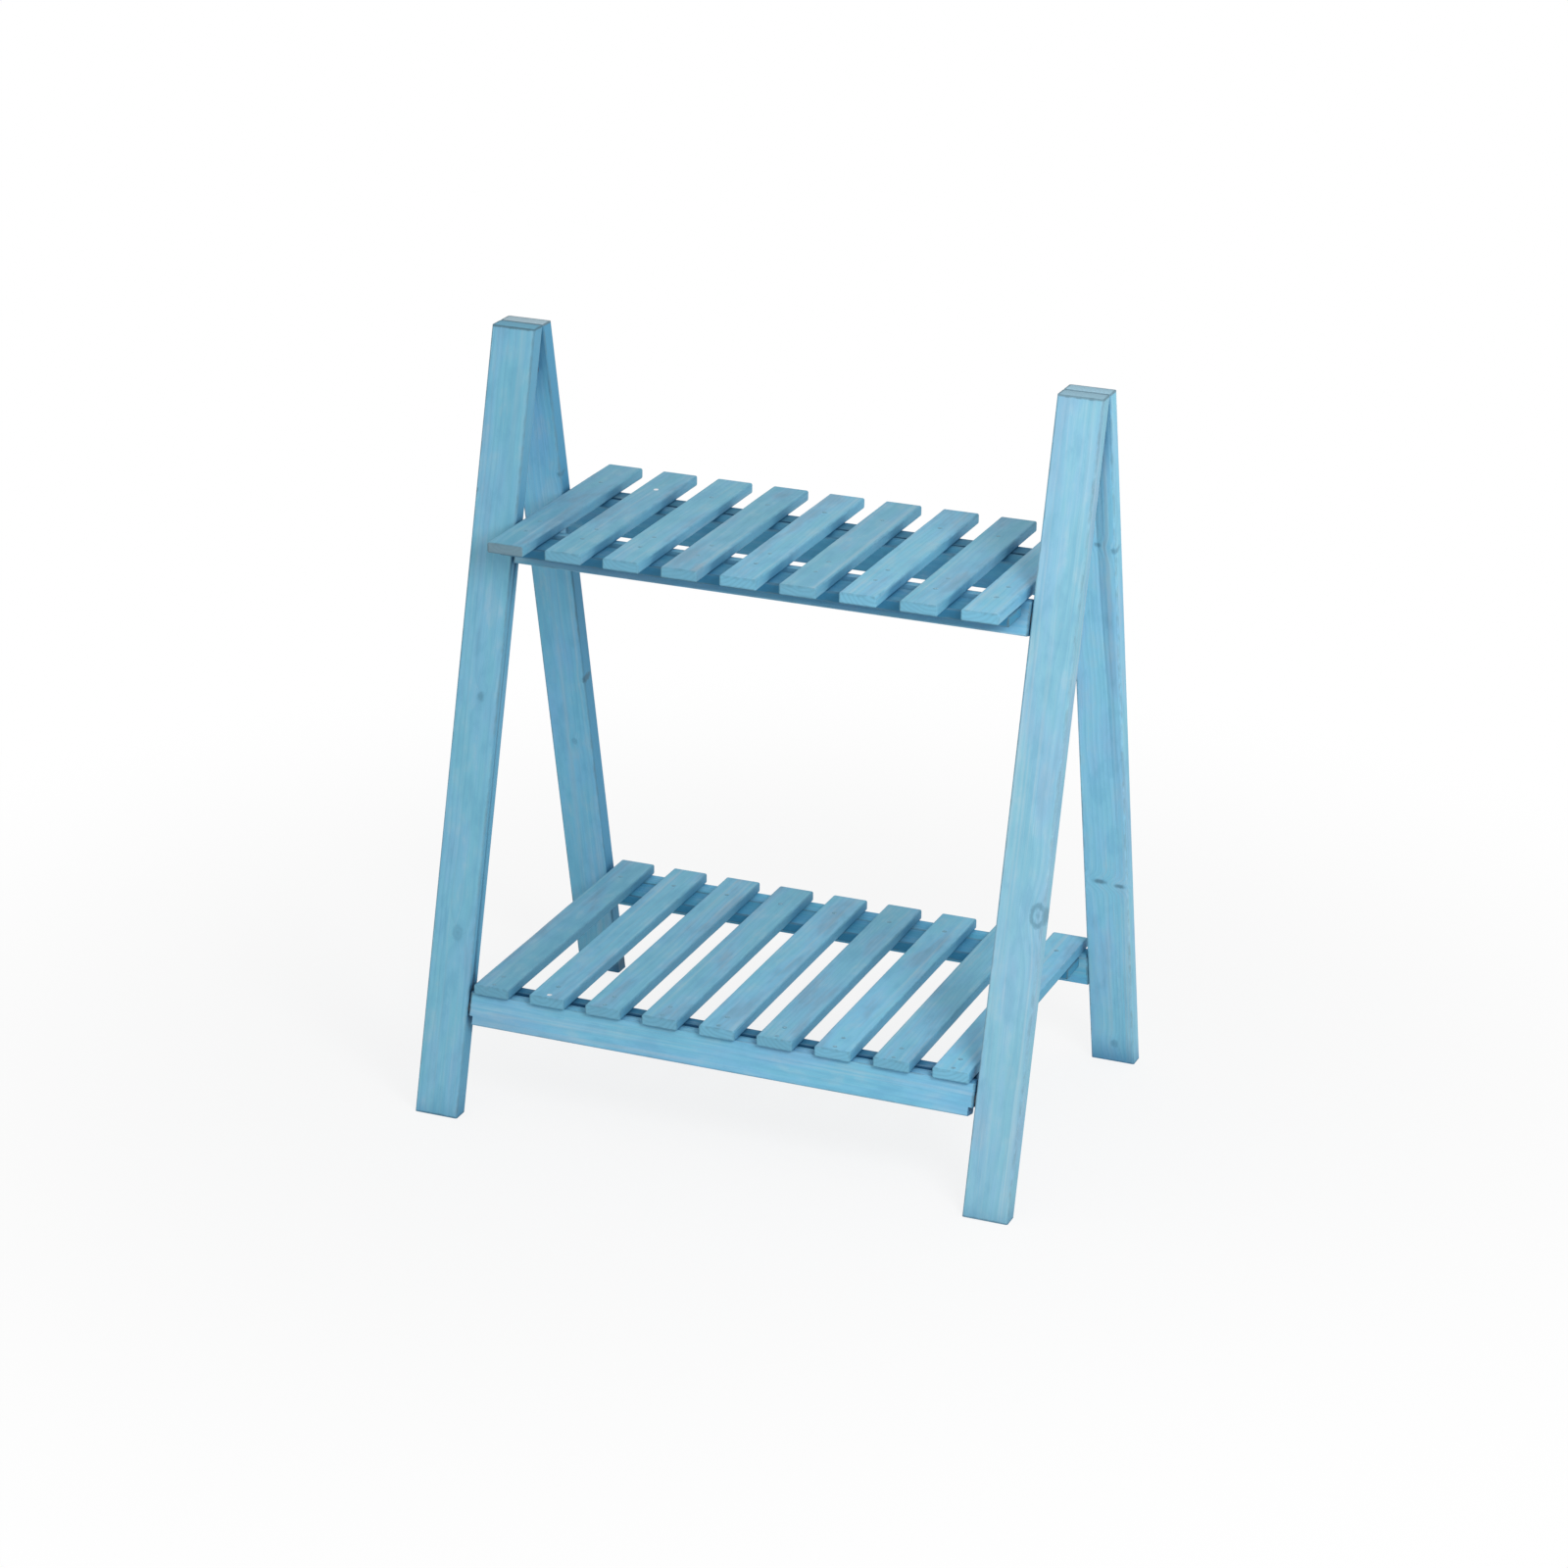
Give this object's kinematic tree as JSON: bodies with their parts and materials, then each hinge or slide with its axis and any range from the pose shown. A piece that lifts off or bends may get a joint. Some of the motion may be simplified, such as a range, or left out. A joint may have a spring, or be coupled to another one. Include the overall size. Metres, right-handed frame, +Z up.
{
  "type": "folding ladder shelf",
  "caption": "Folding A-frame stand of blue-washed wood with slatted shelves that lift and lie flat against the front legs as the frame closes.",
  "frame": {"origin": "centre of the footprint, on the floor", "axes": "+X to the right seen from the front, +Y towards the back, +Z up"},
  "size_m": [0.546, 0.3654, 0.666],
  "materials": {
    "legs": "thin blue wash over pine, satin",
    "rails": "thin blue wash over pine, satin",
    "slats": "thin blue wash over pine, satin",
    "battens": "thin blue wash over pine, satin",
    "spacers": "zinc plated washers",
    "dowels": "bare beech, hidden in the joint",
    "hinges": "zinc plated",
    "fasteners": "bright wire nails, screws and pins"
  },
  "bodies": {
    "front_frame": {"front_leg_left": "legs", "front_leg_right": "legs", "hinge_leaf_front_left": "hinges", "hinge_leaf_front_right": "hinges", "hinge_screws_front": "fasteners", "upper_pivot_pins": "fasteners", "lower_pivot_pins": "fasteners", "upper_pivot_spacers": "spacers", "lower_pivot_spacers": "spacers"},
    "rear_frame": {"rear_leg_left": "legs", "rear_leg_right": "legs", "rear_rail_upper": "rails", "rear_rail_lower": "rails", "rail_dowels": "dowels", "hinge_leaf_rear_left": "hinges", "hinge_leaf_rear_right": "hinges", "hinge_pin_left": "hinges", "hinge_pin_right": "hinges", "hinge_screws_rear": "fasteners"},
    "upper_shelf": {"upper_front_beam": "rails", "upper_front_batten": "battens", "upper_rear_batten": "battens", "upper_shelf_nails": "fasteners", "upper_slat_1": "slats", "upper_slat_2": "slats", "upper_slat_3": "slats", "upper_slat_4": "slats", "upper_slat_5": "slats", "upper_slat_6": "slats", "upper_slat_7": "slats", "upper_slat_8": "slats", "upper_slat_9": "slats"},
    "lower_shelf": {"lower_front_beam": "rails", "lower_edge_batten": "battens", "lower_rear_batten": "battens", "lower_shelf_nails": "fasteners", "lower_slat_1": "slats", "lower_slat_2": "slats", "lower_slat_3": "slats", "lower_slat_4": "slats", "lower_slat_5": "slats", "lower_slat_6": "slats", "lower_slat_7": "slats", "lower_slat_8": "slats", "lower_slat_9": "slats"}
  },
  "joints": [
    {"name": "frame_fold", "type": "hinge", "parent": "front_frame", "child": "rear_frame", "pos_m": [0, 0, 0.64613], "axis": [-1, 0, 0], "range_deg": [0, 28]},
    {"name": "upper_shelf_lift", "type": "hinge", "parent": "front_frame", "child": "upper_shelf", "pos_m": [0, -0.05345, 0.48551], "axis": [1, 0, 0], "range_deg": [0, 76.5]},
    {"name": "lower_shelf_lift", "type": "hinge", "parent": "front_frame", "child": "lower_shelf", "pos_m": [0, -0.15093, 0.09451], "axis": [1, 0, 0], "range_deg": [0, 76.5]}
  ],
  "couplings": [
    {"joint": "upper_shelf_lift", "follows": "frame_fold", "ratio": 2.7143},
    {"joint": "lower_shelf_lift", "follows": "frame_fold", "ratio": 2.7143}
  ]
}
